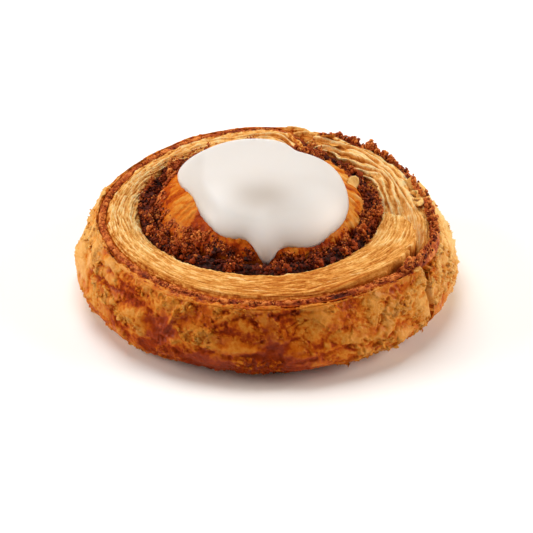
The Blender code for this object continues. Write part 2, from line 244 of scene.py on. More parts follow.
# Stage, in metres: each light's name, place, size, power and tint.
LIGHTS = (
    ("overhead", (-0.15, 0.3, 0.9), 0.8, 7.6, (1.0, 1.0, 1.0)),
    ("side_left", (-0.85, 0.0, 0.42), 0.6, 6.0, (1.0, 0.9, 0.8)),
    ("side_right", (0.85, -0.05, 0.42), 0.6, 6.4, (1.0, 0.9, 0.8)),
)
LIGHTS_AIM = (0.0, 0.0, 0.015)



def unit(vectors):
    """The same vectors with length 1."""
    return vectors / np.maximum(np.linalg.norm(vectors, axis=-1, keepdims=True), 1e-9)


# The noise's slopes, and the primes that pick one for each cell and seed.
SLOPES = unit(np.random.default_rng(5).normal(size=(4096, 3)))
CELL_PRIMES = np.array((73856093, 19349663, 83492791))
SEED_PRIME = 7919


def smooth(x):
    """Rises from 0 to 1 as x goes from 0 to 1 by 3x^2 - 2x^3, level at both ends."""
    x = np.clip(x, 0.0, 1.0)
    return x * x * (3.0 - 2.0 * x)


def ramp(x, start, length):
    """Rises smoothly from 0 at the start to 1 a length further on."""
    return smooth((x - start) / length)


def bump(x):
    """A hill of height 1 at x = 0, e to the minus x squared."""
    return np.exp(-(x**2))


def hill(x, place):
    """A hill given by its middle, width and height."""
    middle, width, height = place
    return height * bump((x - middle) / width)


def wrapped(angle):
    """The same angle between -180 and 180."""
    return (angle + 180.0) % 360.0 - 180.0


def facing(angle, middle, width):
    """A hill of height 1 round a direction."""
    return bump(wrapped(angle - middle) / width)


def noise(*place, seed):
    """Smooth noise between about -1 and 1: each corner of the place's unit cell has a random slope,
    and the slopes' heights there are blended by 6t^5 - 15t^4 + 10t^3."""
    place = np.stack(np.broadcast_arrays(*place, *[0.5] * (3 - len(place))), -1)
    cell = np.floor(place).astype(np.int64)
    within = place - cell
    fade = within**3 * (within * (within * 6 - 15) + 10)
    total = np.zeros(place.shape[:-1])
    for corner in np.ndindex(2, 2, 2):
        key = (cell + corner) @ CELL_PRIMES + seed * SEED_PRIME
        slope = SLOPES[(key ^ (key >> 13)) % len(SLOPES)]
        weight = np.prod(np.where(corner, fade, 1 - fade), axis=-1)
        total += weight * np.einsum("...i,...i", slope, within - corner)
    return 1.6 * total


def fractal(octaves, seed, *place):
    """Noise with finer noise on it, each octave twice as fine and half as high."""
    total = 0.0
    for octave in range(octaves):
        total = total + 0.5**octave * noise(*(axis * 2.0**octave for axis in place), seed=seed + octave)
    return total


def raised(flat, height):
    """Places seen from above, given their heights."""
    return np.concatenate([flat, height[..., None]], -1)


def dive(winding, middle, width):
    """Rises from 0 to 1 over a width, half way at its middle."""
    return smooth((winding - middle) / width + 0.5)


def along_turns(winding, key):
    """A value of the three turns, blended where the line dives from one turn to the next."""
    first = dive(winding, *FIRST_DIVE)[..., None]
    second = dive(winding, *SECOND_DIVE)[..., None]
    outer, crumb, inner = (np.atleast_1d(np.array(t[key])) for t in (OUTER_TURN, CRUMB_TURN, INNER_TURN))
    return outer * (1 - first) + crumb * (first - second) + inner * second


def direction(winding):
    """Unit vector from the middle towards a place, seen from above."""
    angle = np.radians(TAIL_DIRECTION - winding)
    return np.stack([np.cos(angle), np.sin(angle)], -1)


def outline_swell(winding):
    """How far the outline swells: a hill or a dip for each place in the list."""
    return sum(far * facing(winding, at, width) for at, width, far in SWELLS)


def wave(winding):
    """A slow uneven wave between about -1 and 1, the sum of two sines of the winding."""
    turn = np.radians(winding)
    return 0.6 * np.sin(3.1 * turn + 0.5) + 0.4 * np.sin(5.3 * turn + 2.0)


def line_point(winding):
    """The spiral line seen from above: centre + direction x radii, with its swell and wave."""
    out = direction(winding)
    swell = outline_swell(winding) * (1 - dive(winding, *SWELLS_END))
    swell = swell + LINE_WAVE * wave(winding)
    return along_turns(winding, "centre") + out * (along_turns(winding, "radii") + swell[..., None])


def thickness(winding, level):
    """Thickness of the filling: narrow below, growing with the square of the level."""
    top = along_turns(winding, "thickness")[..., 0]
    return top * (NARROW_SHARE + (1 - NARROW_SHARE) * level**2)


def cover(winding):
    """1 where the outer strip covers the filling, 0 where the filling lies bare on the wall."""
    near = wrapped(winding)
    return ramp(near, *COVER_RETURNS) + 1 - ramp(near, *COVER_ENDS)


def rim_height(winding):
    """Height of the wall's upper edge: higher at the back, with a slow wave."""
    return RIM_HEIGHT + BACK_RISE * direction(winding)[..., 1] + RIM_WAVE * wave(wrapped(winding))


def groove_height(winding):
    """Height of the band's inner edge: higher at the back."""
    return GROOVE_HEIGHT + BACK_RISE * direction(winding)[..., 1]


def wall_reach(winding, height):
    """(edge, swell, foot) seen from above: the wall's upper edge, how far it swells beyond that
    at a height, and how far it draws in at the foot, each a power of the height."""
    out = direction(winding)
    swell = outline_swell(winding)[..., None]
    radii = np.array(OUTER_TURN["radii"]) + swell
    flat = RIM_LEDGE_FRONT + (RIM_LEDGE_BACK - RIM_LEDGE_FRONT) * ramp(out[..., 1], -1.0, RIM_LEDGE_SPAN)
    ledge = OUTER_TURN["thickness"] / 2 + cover(winding) * (GAP + flat)
    edge = np.array(OUTER_TURN["centre"]) + out * (radii + ledge[..., None])
    widest = out * (np.array((WALL_HALF_WIDTH, WALL_HALF_DEPTH)) + np.minimum(swell, 0))
    rise = (height - WIDEST_HEIGHT) / (rim_height(winding) - WIDEST_HEIGHT)
    upper = 1 - np.clip(rise, 0, 1) ** SHOULDER_ROUNDNESS
    drop = np.clip((WIDEST_HEIGHT - height) / WIDEST_HEIGHT, 0, 1)
    foot = FOOT_INSET * drop**FOOT_ROUNDNESS
    return edge, (widest - edge) * upper[..., None], out * foot[..., None]


def dome(place):
    """Height of the raised middle: a flattened cap (1 - r^2.6)^0.73 over an ellipse."""
    offset = (place - np.array(CRUMB_TURN["centre"])) / np.array(DOME_RADII)
    reach = np.clip(np.hypot(offset[..., 0], offset[..., 1]), 0, 1)
    angle = np.arctan2(place[..., 1], place[..., 0])
    foot = GROOVE_HEIGHT + BACK_RISE * np.sin(angle) + DOME_FOOT_RISE
    return foot + (DOME_TOP - foot) * (1 - reach**DOME_FLATNESS) ** DOME_STEEPNESS


def lean(winding, height):
    """How far the filling leans with the wall's swell and foot, as far as the first dive."""
    swell, foot = wall_reach(winding, height)[1:]
    share = 1 - (1 - LEAN_INSIDE) * smooth(winding / LEAN_FADE)
    outer = 1 - ramp(winding, *LEAN_ENDS)
    return (swell * share[..., None] - foot) * outer[..., None]


def filling_face(winding, height, top, side):
    """A face of the filling, off its line by half the thickness: side is 1 outwards."""
    level = np.clip(height / top, 0, 1)
    offset = side * thickness(winding, level) / 2
    return line_point(winding) + lean(winding, height) + direction(winding) * offset[..., None]


def slot_face(winding, height, top, side):
    """The dough's face beside the filling, clear of it by the gap."""
    return filling_face(winding, height, top, side) + direction(winding) * (side * GAP)[..., None]


def torn_layers(winding, reach, width):
    """(height, soft) of the torn place: past a ragged slanting edge the upper layers end in a raised
    tongue, and beside it those below lie lower and softer, with a dark groove (soft below 0), a
    painted shadow along the tongue's end."""
    ragged = noise(reach / 1.4, seed=31) + 0.6 * noise(reach / 0.6, seed=32)
    slant = TONGUE["slant"] * np.maximum(0.0, TONGUE["slant_reach"] - reach)
    past = winding - TONGUE["end"] + TONGUE["skew"] * reach - slant - 1.6 * ragged
    on = smooth(past / 1.2 + 0.5)
    beside = (1 - on) * ramp(past, -24.0, 18.0)
    pit = TORN_PIT["depth"] * bump((winding - TORN_PIT["at"]) / TORN_PIT["length"])
    pit = pit * bump((reach - TORN_PIT["reach"]) / TORN_PIT["width"]) * (1 - on)
    height = TONGUE["rise"] * on * (1 - ramp(past, 2.0, 30.0)) - TONGUE["drop"] * beside - pit
    inside = smooth(reach / 0.9) * smooth((width - reach) / 1.2)
    soft = beside * bump((reach - 4.0) / 3.0) * (1 - ramp(winding, SEAM, SEAM_LENGTH))
    # Painted shadow: the groove darkens the dough just before the tongue's end.
    groove = (1 - on) * bump((past + 1.2) / 2.0) * smooth(reach - 1.0)
    return height * inside, soft - 2.2 * groove


def strip_top(winding, across, place):
    """Height of the strip's upper face: a crowned band outside, the raised dome inside, with a
    notch in the back rim and its two edges rounded."""
    inside = ramp(winding, *STRIP_CLIMBS)
    between = ramp(winding, *BAND_BEGINS)
    outer_edge = np.where(winding < 360, rim_height(winding), rim_height(winding) + OUTER_EDGE_RISE)
    inner_edge = rim_height(winding) * (1 - between) + (groove_height(winding) + INNER_EDGE_RISE) * between
    crown = BAND_CROWN * 4 * across * (1 - across) * between
    band = outer_edge + (inner_edge - outer_edge) * across + crown
    height = band * (1 - inside) + dome(place) * inside
    notch = hill(winding, RIM_HILL) - hill(winding, RIM_NOTCH)
    height = height + notch * (1 - smooth(across / 0.5))
    nearest = np.minimum(across, 1 - across)
    rounding = LIP_ROUNDING * np.where(winding < BAND_BEGINS[0], WALL_LIP, 1.0)
    return height - rounding * (1 - smooth(nearest / LIP_SHARE))


def new_object(name, data):
    """An object at the origin for a mesh, a light or a camera."""
    obj = bpy.data.objects.new(name, data)
    bpy.context.scene.collection.objects.link(obj)
    return obj


def grid_mesh(name, points, fields, material):
    """A mesh over a grid of points, closed round each section and capped at both ends. Each field
    becomes an attribute of its points."""
    count, size = points.shape[:2]
    index = np.arange(count * size).reshape(count, size)
    ahead = np.roll(index, -1, axis=1)
    quads = np.stack([index[:-1], ahead[:-1], ahead[1:], index[1:]], -1).reshape(-1)
    loops = np.concatenate([quads, index[0][::-1], index[-1]])
    starts = np.concatenate([np.arange(0, len(quads), 4), [len(quads), len(quads) + size]])
    return raw_mesh(name, points.reshape(-1, 3), loops, starts, fields, material, 2)


def raw_mesh(name, points, loops, starts, fields, material, flat_last=0):
    """An object from arrays: points, the corners of all faces and where each face starts."""
    mesh = bpy.data.meshes.new(name)
    mesh.vertices.add(len(points))
    mesh.vertices.foreach_set("co", ((points - OUTLINE_MIDDLE) * MM).astype(np.float32).ravel())
    mesh.loops.add(len(loops))
    mesh.loops.foreach_set("vertex_index", loops.astype(np.int32))
    mesh.polygons.add(len(starts))
    mesh.polygons.foreach_set("loop_start", starts.astype(np.int32))
    mesh.update(calc_edges=True)
    for field, values in fields.items():
        attribute = mesh.attributes.new(field, "FLOAT", "POINT")
        attribute.data.foreach_set("value", np.asarray(values, np.float32).ravel())
    mesh.shade_smooth()
    if flat_last:
        flat = mesh.attributes.new("sharp_face", "BOOLEAN", "FACE")
        flat.data.foreach_set("value", np.arange(len(starts)) >= len(starts) - flat_last)
    mesh.validate()
    mesh.materials.append(material)
    return new_object(name, mesh)


def grid_normals(points):
    """Unit normals of a grid of points, the cross product of its two differences."""
    return unit(np.cross(np.gradient(points, axis=1), np.gradient(points, axis=0)))


def skin(along, height):
    """1 where the crust's thin skin is whole, 0 where it has flaked off: noise over a level, its
    place shifted by finer noise."""
    ragged = 1.4 * fractal(3, 41, along / 2.0, height / 1.4)
    body = fractal(2, 44, (along + ragged) / 12.0, (height + ragged) / 6.0)
    return ramp(body, -0.12, 0.07)


# Marks on the wall: from (direction, height) to (direction, height), half width, depth
# (negative is a ridge) and how much darker it is there, which in the grooves is painted shade
# and on the ridges, below 0, paler.
WALL_MARKS = (
    ((-160, 16.0), (-148, 17.2), 0.55, 0.7, 0.26),
    ((-148, 17.2), (-136, 18.2), 0.55, 0.6, 0.28),
    ((-136, 18.2), (-126, 16.6), 0.6, 0.5, 0.24),
    ((-114, 23.6), (-121, 14.0), 1.1, -0.9, -0.14),
    ((-106, 22.5), (-95, 24.6), 0.8, -0.6, -0.1),
    ((-103, 21.0), (-90, 22.0), 0.7, 0.5, 0.15),
    ((-95, 18.6), (-92, 18.9), 0.9, 0.7, 0.26),
    ((-90, 20.3), (-87, 20.6), 0.7, 0.6, 0.28),
    ((-48, 21.4), (-52, 17.0), 0.4, 0.6, 0.25),
    ((-52, 17.0), (-56, 12.6), 0.4, 0.6, 0.25),
    ((-71, 12.4), (-64, 9.4), 0.4, 0.6, 0.3),
    ((-100, 6.5), (-72, 5.0), 0.5, 0.5, 0.25),
    ((-30, 20.0), (-24, 12.0), 0.7, 0.8, 0.25),
    ((-20, 17.0), (-12, 9.0), 0.6, 0.7, 0.25),
    ((150, 18.0), (166, 15.5), 0.5, 0.6, 0.25),
    ((60, 16.0), (84, 13.5), 0.6, 0.7, 0.25),
    ((100, 12.0), (126, 14.0), 0.5, 0.6, 0.25),
)

# Ragged edges of layers on the wall, as lines of (direction, height).
LAYER_EDGES = (
    ((-168, 21.5), (-158, 20.5), (-149, 22.2), (-139, 21.0), (-130, 22.0)),
    ((-116, 23.2), (-119, 17.0), (-121, 12.5), (-116, 10.0)),
    ((-105, 18.5), (-99, 21.3), (-93, 22.3), (-80, 22.6), (-70, 22.3)),
    ((-108, 12.2), (-100, 11.2), (-92, 12.0)),
    ((-82, 9.0), (-72, 11.0), (-65, 11.8), (-58, 10.5)),
    ((-45, 19.5), (-49, 13.0), (-55, 9.0)),
    ((20, 14.0), (34, 17.0), (50, 15.0)),
    ((80, 18.5), (96, 16.0), (112, 18.0)),
    ((130, 9.0), (146, 11.5), (164, 9.5)),
)
# What follows each edge, a ridge and a groove below it: drop, half width, depth, darker by.
# The groove's darkening is a painted shadow under the edge.
EDGE_MARKS = ((0.0, 0.8, -0.5, -0.12), (1.3, 0.5, 0.45, 0.14))


def layer_marks():
    """The marks of the layers' edges, for each stretch between two points of a line."""
    return [
        ((from_angle, from_height - drop), (to_angle, to_height - drop), half_width, deep, darker)
        for line in LAYER_EDGES
        for (from_angle, from_height), (to_angle, to_height) in zip(line, line[1:])
        for drop, half_width, deep, darker in EDGE_MARKS
    ]


def wall_marks(angle, height):
    """(depth, dark) of the marks: hills of the distance from each mark's line, made uneven by noise."""
    depth = np.zeros_like(height)
    dark = np.zeros_like(height)
    wander = 0.9 * fractal(2, 51, angle / 2.2, height / 2.0)
    for start, end, half_width, deep, darker in (*WALL_MARKS, *layer_marks()):
        offset = np.stack([np.radians(wrapped(angle - start[0])) * MEAN_RADIUS, height - start[1]], -1)
        run = np.array((np.radians(end[0] - start[0]) * MEAN_RADIUS, end[1] - start[1]))
        share = np.clip(offset @ run / (run @ run), 0.0, 1.0)
        distance = np.linalg.norm(offset - share[..., None] * run, axis=-1) + wander
        mark = bump(distance / half_width) * bump(2.4 * (share - 0.5) ** 2)
        depth += deep * mark
        # dark is painted shade in the grooves and, below 0, a paler ridge.
        dark += darker * mark
    return depth, dark


def wall_relief(winding, height):
    """(relief, bake, matt, flaky) of the outer wall: noise for blisters and knobs, noise over a level
    for flaked skin and for flakes in clusters, sines at the foot, cracks where noise is near 0, and
    single marks. What stands out is paler, what lies deeper is darker: painted light and shade. The
    bake by side is partly painted too: darker at the front and low on it, paler on the left and right."""
    angle = TAIL_DIRECTION - winding
    along = np.radians(winding) * MEAN_RADIUS
    front, left, right_front, rough_side = (facing(angle, *side) for side in WALL_SIDES)
    blister = fractal(2, 1, along / 9.0, height / 7.0)
    knob = fractal(3, 4, along / 2.4, height / 2.1)
    whole = skin(along, height)
    curl = 4 * whole * (1 - whole)
    cluster = ramp(fractal(2, 17, along / 13.0, height / 7.0), 0.02, 0.25)
    flake = ramp(fractal(3, 20, along / 1.9, height / 1.3), 0.12, 0.14) * cluster
    fine = fractal(2, 24, along / 0.95, height / 0.85)
    foot = smooth((5.2 - height) / 2.0)
    layers = np.sin(2 * np.pi * (height / 1.05 + 0.8 * noise(along / 9.0, height / 4.0, seed=7)))
    cracks = 1 - np.abs(fractal(2, 9, along / 6.5, height / 3.6)) / 0.05
    cracks = np.clip(cracks, 0, 1) * smooth(fractal(1, 12, along / 14.0, height / 9.0) / 0.3)
    depth, dark = wall_marks(angle, height)
    end_edge = winding + 4.0 * fractal(3, 27, height / 4.0, along / 6.0)
    flap = 0.35 * (1 - smooth(winding / 8.0)) - 0.35 * ramp(end_edge, SEAM, SEAM_LENGTH)

    relief = 0.85 * blister + (0.2 + 0.5 * rough_side) * knob + 0.3 * whole + 0.5 * curl + 0.45 * flake - 0.45
    relief = relief + 0.26 * layers * foot - 0.4 * cracks - depth + flap + (0.1 + 0.1 * rough_side) * fine

    # Partly painted light and shade: darker at the front and most of all low on it, paler on the left, the
    # rough side and right of the front.
    bake = 0.55 + 0.09 * front - 0.28 * left - 0.36 * rough_side - 0.24 * right_front
    bake = bake + 0.31 * front * smooth((14.0 - height) / 9.0) + 0.14 * smooth((1.8 - height) / 1.2)
    # Painted light and shade: paler where blisters, knobs and grain stand out, darker in pits, cracks,
    # grooves and at the rims of flakes.
    bake = bake - 0.2 * blister - (0.09 + 0.08 * rough_side) * knob
    bake = bake - 0.04 * whole - 0.16 * curl - 0.15 * flake
    bake = bake + 0.1 * np.clip(-0.2 - knob - 0.4 * blister, 0.0, 0.5)
    bake = bake + 0.06 * ramp(end_edge, SEAM + 1.0, 6.0) - 0.14 * (1 - smooth(winding / 2.5))
    bake = bake + 0.14 * cracks + dark - 0.15 * fine * (1 - 0.6 * whole) + 0.7 * flake * (1 - flake)
    bake = bake + 0.17 * fractal(2, 15, along / 8.0, height / 5.0)
    bake = bake - 0.13 * layers * foot
    bake = np.minimum(bake, BAKE_CAP - 0.16 * left - 0.12 * right_front)
    bake = np.maximum(bake, BAKE_FLOOR + 0.15 * front - 0.05 * left - 0.2 * rough_side)
    matt = np.maximum(0.6 * (1 - whole), flake)
    flaky = np.maximum(cluster * smooth((fine + 0.9) / 0.8), 0.5 * foot)
    return relief, bake, matt, flaky


def band_relief(winding, reach):
    """(relief, bake) of the band: sines of the reach, bent by noise, for fine layers and for broader
    strands at the back right, and noise for small breaks across them."""
    angle = wrapped(TAIL_DIRECTION - winding)
    along = np.radians(winding) * BAND_RADIUS
    waver = fractal(3, 61, along / 13.0, reach / 4.0)
    layers = np.sin(2 * np.pi * (reach / 0.8 + 1.5 * waver))
    thin = noise(along / 5.0, reach / 0.42, seed=63)
    strength = 0.6 + 0.7 * noise(along / 6.0, reach / 1.8, seed=64)
    strands = np.sin(2 * np.pi * (reach / 2.3 + 0.8 * waver + 0.2))
    breaks = fractal(2, 66, along / 1.7, reach / 0.9)
    patches = fractal(2, 69, along / 9.0, reach / 4.0)
    right_back = ramp(angle, -10.0, 25.0) * (1 - ramp(angle, 75.0, 30.0))
    front, left, right, lip_side = (facing(angle, *side) for side in BAND_SIDES)
    lip = bump((reach - 1.5) / 1.1) * lip_side
    edge = smooth((2.6 - reach) / 2.6)

    relief = 0.3 * layers * strength + 0.2 * thin + (0.14 + 0.5 * right_back) * strands
    relief = relief + (0.12 + 0.22 * left) * breaks + 0.25 * patches
    relief = relief * (1 - 0.6 * lip) + 0.6 * lip

    # Partly painted light and shade: paler on the raised layers, sheets, strands and breaks, darker in their
    # grooves, darker at the front and paler on the left and right.
    bake = 0.22 + 0.17 * front - 0.07 * left - 0.07 * right - (0.11 + 0.09 * front) * layers * strength
    bake = bake - (0.12 + 0.12 * front) * thin - (0.03 + 0.2 * right_back) * strands
    bake = bake - (0.08 + 0.07 * left) * breaks + 0.12 * patches + 0.04 * lip
    return relief, bake + 0.12 * edge * (1 - 0.5 * front)


def turn_relief(winding, height):
    """(relief, bake) of the inner turn: noise drawn out across it for ridges, knobs, and smears of
    filling low on it."""
    along = np.radians(winding) * TURN_RADIUS
    right = bump((wrapped(TAIL_DIRECTION - winding) - TURN_RIGHT[0]) / TURN_RIGHT[1])
    ridges = noise(along / 1.3, height / 7.0, seed=70) * (0.4 + right)
    knob = fractal(3, 74, along / 4.0, height / 3.0)
    smear = smooth((fractal(3, 77, along / 4.0, height / 2.5) + 0.05) / 0.25)
    low = smooth((30.5 - height) / 4.0)
    relief = 0.45 * ridges + 0.4 * knob + 0.14 * fractal(2, 79, along, height)
    bake = 0.45 + 0.14 * smear + 0.12 * low * (1 - 0.7 * right) - 0.17 * ridges - 0.12 * knob
    return relief, bake - 0.12 * right


def upper_finish(w, across, width, height, torn, soft):
    """(relief, fields) of the strip's upper face: the wall's crust, then the band's layers, then the
    inner turn, each blended into the next, with stains of filling along the edges."""
    rows = w + 0 * across
    reach = across * width
    inside = ramp(w, *TURN_CRUST_BEGINS)
    rim = 1 - ramp(w, *RIM_CRUST_ENDS)
    relief, bake = band_relief(rows, reach)
    knobbly = ramp(w, SEAM - 2.0, SEAM_LENGTH) * (w < 372.0) * smooth(-torn / 0.8)
    # soft below 0 is the groove's painted shadow; above 0 it pales the soft layers.
    bake = bake - 0.1 * soft + 0.3 * knobbly
    turn, turn_bake = turn_relief(rows, height)
    relief = relief * (1 - inside) + turn * inside
    bake = bake * (1 - inside) + turn_bake * inside
    lip_relief, lip_bake, _, lip_flaky = wall_relief(rows, rim_height(w) + reach)
    relief = relief * (1 - rim) + lip_relief * rim
    bake = bake * (1 - rim) + lip_bake * rim

    along = np.radians(w) * MEAN_RADIUS
    beside = np.where(w < 250.0, width - reach, np.minimum(reach, width - reach))
    stain = fractal(2, 81, along / 1.1, reach / 0.8)
    stain = smooth((stain + 0.3 - beside / 2.2) / 0.35)
    clean = bump((w - CLEAN_STRETCH[0]) / CLEAN_STRETCH[1]) * (reach < CLEAN_REACH)
    bake = bake + 0.26 * stain * smooth((2.4 - beside) / 1.2) * (1 - clean)

    nearest = np.minimum(across, 1 - across) * width
    share = smooth((nearest + 0.25) / 0.9)
    return relief * share, {
        "bake": bake,
        "gloss": 0.2 + 0.6 * np.maximum(0.7 * inside, rim) + 0 * bake,
        "flaky": lip_flaky * rim,
        "layered": (1 - inside) * (1 - 0.7 * rim) * share,
        "along": np.radians(rows) * SHEET_RADIUS,
        "reach": reach + 0.5 * relief,
    }


def ragged_end(w, points):
    """The sections kept above the ground, and at the strip's outer end drawn in to their middle as
    a quarter circle that noise makes ragged."""
    torn = w - TAIL_RAGGED * (1 + fractal(3, 85, points[..., 2] / 3.5, points[..., 1] / 6.0))
    tail = np.sqrt(np.clip(1 - (1 - np.clip(torn / TAIL_ROUNDING, 0, 1)) ** 2, 0, 1))[..., None]
    middle = points.mean(1, keepdims=True)
    points = middle + (points - middle) * np.maximum(tail, TAIL_THINNEST)
    points[..., 2] = np.maximum(points[..., 2], 0.0)
    return points


def dough_points(winding, wall_levels, spread, slot_levels):
    """(points, fields) of the strip's sections: up its outer side, over its upper face, down its
    inner side and back along its underside, with each point then moved outwards by the relief."""
    w = winding[:, None]
    outer = w - 360.0
    past = np.maximum(w - COIL_END, 0.0)
    inner = np.where(past > 0, COIL_END + STATION - past, w)
    inner_side = np.where(past > 0, -1.0, 1.0)
    bare_wall = outer < FILLING_START

    def outer_side(height, top):
        """The outer side, (place, open): the wall where it lies open, else beside the filling."""
        edge, swell, foot = wall_reach(w, height)
        slot = slot_face(outer + 0 * height, height, top, np.float64(-1.0))
        below = (outer < -0.5) & (height < BARE_SHARE * top)
        return np.where((bare_wall | below)[..., None], edge + swell - foot, slot), bare_wall | below

    def line_up(side_part, top_part, hidden=0.0):
        """A field over whole sections, with one value on the inner side and the underside."""
        return np.concatenate([side_part, top_part, np.full((len(w), len(slot_levels) + 1), hidden)], 1)

    guess = outer_side(np.full_like(w, RIM_HEIGHT), np.full_like(w, RIM_HEIGHT))[0]
    outer_top = strip_top(w, 0.0, guess)
    outer_corner = outer_side(outer_top, outer_top)[0]
    inner_top = strip_top(w, 1.0, line_point(inner))
    inner_corner = slot_face(inner, inner_top, inner_top, inner_side)

    across = spread[None, :]
    side_height = outer_top * wall_levels[None, :]
    side, open_side = outer_side(side_height, outer_top)
    wall = raised(side, side_height)
    flat = outer_corner * (1 - across[..., None]) + inner_corner * across[..., None]
    width = np.linalg.norm(inner_corner - outer_corner, axis=-1)
    torn, soft = torn_layers(w, across * width, width)
    upper = raised(flat, strip_top(w, across, flat) + torn)
    slot_height = inner_top * slot_levels[None, ::-1]
    slot = raised(slot_face(inner + 0 * slot_height, slot_height, inner_top, inner_side), slot_height)
    under = ((wall[:, 0] + slot[:, -1]) / 2)[:, None]
    points = np.concatenate([wall, upper, slot, under], 1)

    relief, bake, matt, flaky = wall_relief(w + 0 * side_height, side_height)
    upper_relief, tops = upper_finish(w, across, width, upper[..., 2], torn, soft)
    relief = line_up(relief * (open_side * smooth(side_height / 1.5)), upper_relief)
    fields = {
        "bake": line_up(np.where(open_side, bake, BAKE_HIDDEN), tops["bake"], BAKE_HIDDEN),
        "gloss": line_up(1 - 0.8 * matt, tops["gloss"]),
        "flaky": line_up(np.where(open_side, flaky, 0.0), tops["flaky"]),
    }
    for name in ("layered", "along", "reach"):
        fields[name] = line_up(0 * side_height, tops[name])
    return ragged_end(w, points + grid_normals(points) * relief[..., None]), fields


class Socket:
    """A shader output that takes part in sums and products with numbers and other outputs."""

    def __init__(self, shader, output):
        self.shader = shader
        self.output = output

    def math(self, operation, *values):
        """A Math node on numbers or outputs."""
        return self.shader.add("ShaderNodeMath", {"operation": operation}, dict(enumerate(values)))

    def __add__(self, other):
        return self.math("ADD", self, other)

    def __radd__(self, other):
        return self.math("ADD", other, self)

    def __sub__(self, other):
        return self.math("SUBTRACT", self, other)

    def __rsub__(self, other):
        return self.math("SUBTRACT", other, self)

    def __mul__(self, other):
        return self.math("MULTIPLY", self, other)

    def __rmul__(self, other):
        return self.math("MULTIPLY", other, self)

    def between(self, low, high):
        """0 below low, 1 above high and even between them."""
        inputs = {"Value": self, "From Min": low, "From Max": high}
        return self.shader.add("ShaderNodeMapRange", {"clamp": True}, inputs)


class Shader:
    """A material and the nodes put into it."""

    def __init__(self, name):
        self.material = bpy.data.materials.new(name)
        self.material.use_nodes = True
        self.tree = self.material.node_tree
        self.surface = self.tree.nodes["Principled BSDF"]

    def add(self, kind, settings, inputs, output=0):
        """Adds a node: its settings first, then its values or links. Gives one of its outputs."""
        node = self.tree.nodes.new(kind)
        for name, value in settings.items():
            setattr(node, name, value)
        for name, value in inputs.items():
            self.put(node.inputs[name], value)
        return Socket(self, node.outputs[output])

    def put(self, socket, value):
        """Links an output to a socket or sets its number."""
        if isinstance(value, Socket):
            self.tree.links.new(value.output, socket)
        else:
            socket.default_value = value

    def set(self, **values):
        """Fills the surface's own sockets, an underscore for each space in a name."""
        for name, value in values.items():
            self.put(self.surface.inputs[name.replace("_", " ")], value)

    def attribute(self, name):
        """The value of one of the mesh's fields."""
        return self.add("ShaderNodeAttribute", {"attribute_name": name}, {}, "Fac")

    def texture(self, place, scale, detail, rough):
        """Noise from 0 to 1 at a place, with so many features to a unit."""
        inputs = {"Vector": place, "Scale": scale, "Detail": detail, "Roughness": rough}
        return self.add("ShaderNodeTexNoise", {}, inputs, "Fac")

    def grain(self, size, detail=3.0, rough=0.6):
        """Noise from 0 to 1 with features of this size in millimetres."""
        place = self.add("ShaderNodeTexCoord", {}, {}, "Object")
        return self.texture(place, 1.0 / (size * MM), detail, rough)

    def mix(self, share, first, second):
        """One colour that turns into another as the share goes from 0 to 1."""
        return self.add("ShaderNodeMix", {"data_type": "RGBA"}, {0: share, 6: first, 7: second}, 2)

    def tones(self, value, stops):
        """The colour at a value, mixed between neighbouring stops."""
        colour = linear(stops[0][1])
        for (low, _), (high, tone) in zip(stops, stops[1:]):
            colour = self.mix(value.between(low, high), colour, linear(tone))
        return colour

    def bumps(self, height, distance, strength):
        """A normal tilted by the slope of a height, whose full rise is this distance."""
        inputs = {"Height": height, "Distance": distance * MM, "Strength": strength}
        return self.add("ShaderNodeBump", {}, inputs)


def linear(tone):
    """A colour given as 0 to 255 screen values, in linear light."""
    share = np.array(tone) / 255.0
    light = np.where(share > 0.04045, ((share + 0.055) / 1.055) ** 2.4, share / 12.92)
    return (*light.tolist(), 1.0)


def dough_material():
    """Baked dough: its tone is the bake, broken up by fine and broad grain, specks and the band's
    thin sheets. Flaked places are duller and rougher than whole skin."""
    shader = Shader("baked_dough")
    bake = shader.attribute("bake")
    gloss = shader.attribute("gloss")
    layered = shader.attribute("layered")
    fine = shader.grain(0.7, 4.0, 0.65)
    broad = shader.grain(2.6)
    speck = shader.grain(1.1).between(0.55, 0.6) * shader.attribute("flaky")
    place = {"X": shader.attribute("along") * 0.16, "Y": shader.attribute("reach") * 2.4}
    place = shader.add("ShaderNodeCombineXYZ", {}, place)
    sheets = (shader.texture(place, 1.0, 4.0, 0.65) - 0.5) * layered
    # The sheets are paler where their bump rises, partly painted light as on the band's layers.
    value = bake - (fine - 0.5) * (0.5 - 0.3 * gloss) + (broad - 0.5) * 0.22 - speck * 0.08 - sheets * 0.9
    tone = shader.mix(layered, shader.tones(value, CRUST_TONES), shader.tones(value, LAYER_TONES))
    rise = fine * (0.8 - 0.5 * gloss) + shader.grain(0.3, 2.0) * 0.4 + speck * 0.7 + sheets * 1.6
    shader.set(Base_Color=tone, Normal=shader.bumps(rise, 0.45, 0.75))
    shader.set(Roughness=0.66 - 0.2 * gloss + (fine - 0.5) * 0.3)
    shader.set(Subsurface_Weight=0.12, Subsurface_Scale=0.0015, Subsurface_Radius=(1.0, 0.45, 0.2))
    shader.set(IOR=1.4, Specular_IOR_Level=0.08)
    shader.set(Coat_Weight=(gloss - 0.4) * 0.28, Coat_Roughness=0.25)
    return shader.material


def crumb_material(name):
    """Sugar and cinnamon: each crumb's tone with fine grain in it, the pale grains smoother."""
    shader = Shader(name)
    fine = shader.grain(0.5, 3.0, 0.7)
    value = shader.attribute("tone") + (fine - 0.5) * 0.7
    shader.set(Base_Color=shader.tones(value, CRUMB_TONES), Normal=shader.bumps(fine, 0.3, 0.9))
    shader.set(Roughness=0.7 - 0.35 * fine)
    shader.set(IOR=1.45, Specular_IOR_Level=0.2)
    return shader.material


